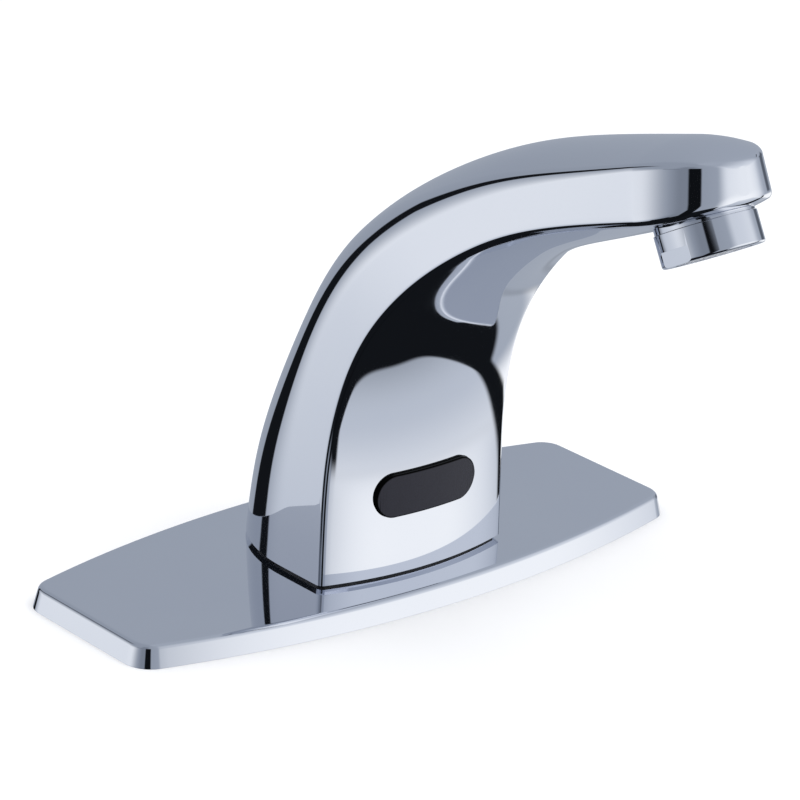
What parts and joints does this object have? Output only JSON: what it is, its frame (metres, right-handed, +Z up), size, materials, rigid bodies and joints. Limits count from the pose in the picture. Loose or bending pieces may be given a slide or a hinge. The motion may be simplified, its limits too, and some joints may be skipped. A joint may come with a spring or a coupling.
{
  "type": "sensor tap",
  "caption": "Deck-mounted touch-free basin tap: a curved one-piece chrome spout with a dark infrared window low on its front, an unscrewing aerator, and an oblong cover plate.",
  "frame": {"origin": "centre of the cover plate's round opening, on the face that rests on the deck", "axes": "+X along the cover plate, +Z up from the deck, -Y towards the user and the way the spout reaches"},
  "size_m": [0.1626, 0.152, 0.1334],
  "materials": {
    "chrome": "polished, chrome plated brass",
    "brass": "machined",
    "copper_tube": "drawn copper tube",
    "steel": "bright",
    "rubber": "moulded seal rubber",
    "foam": "closed cell foam",
    "window": "dark plastic that lets infrared through",
    "housing": "moulded",
    "circuit_board": "coated laminate",
    "clear_lens": "clear resin",
    "dark_lens": "dark resin",
    "red_lens": "red resin",
    "white_plastic": "moulded"
  },
  "bodies": {
    "fixed_tap": {"tap_body": "chrome", "deck_plate": "chrome", "deck_plate_gasket": "foam", "body_gasket": "rubber", "base_block": "brass", "base_screws": "steel", "inlet_strainer": "steel", "tube_inlet_seal": "rubber", "water_tube": "copper_tube", "tube_outlet_seal": "rubber", "outlet_nipple": "brass", "outlet_seal": "rubber", "sensor_window": "window", "window_gasket": "rubber", "sensor_housing": "housing", "sensor_circuit_board": "circuit_board", "infrared_emitter": "clear_lens", "infrared_receiver": "dark_lens", "indicator_led": "red_lens", "sensor_rear_cover": "housing", "sensor_screws": "steel", "lead_grommet": "rubber"},
    "aerator_insert": {"aerator_washer": "rubber", "aerator_screen": "steel", "aerator_cartridge": "white_plastic", "flow_straightener": "white_plastic"},
    "sleeve": {"aerator_sleeve": "chrome"}
  },
  "joints": [
    {"name": "insert_lift", "type": "slide", "parent": "fixed_tap", "child": "aerator_insert", "axis": [0, -0.4818, -0.8763], "range_m": [0, 0.004]},
    {"name": "sleeve_turn", "type": "hinge", "parent": "aerator_insert", "child": "sleeve", "pos_m": [0, -0.10571, 0.11509], "axis": [0, -0.4818, -0.8763], "range_deg": [0, 1440]}
  ],
  "couplings": [
    {"joint": "insert_lift", "follows": "sleeve_turn", "m_per_rad": 0.000159}
  ]
}
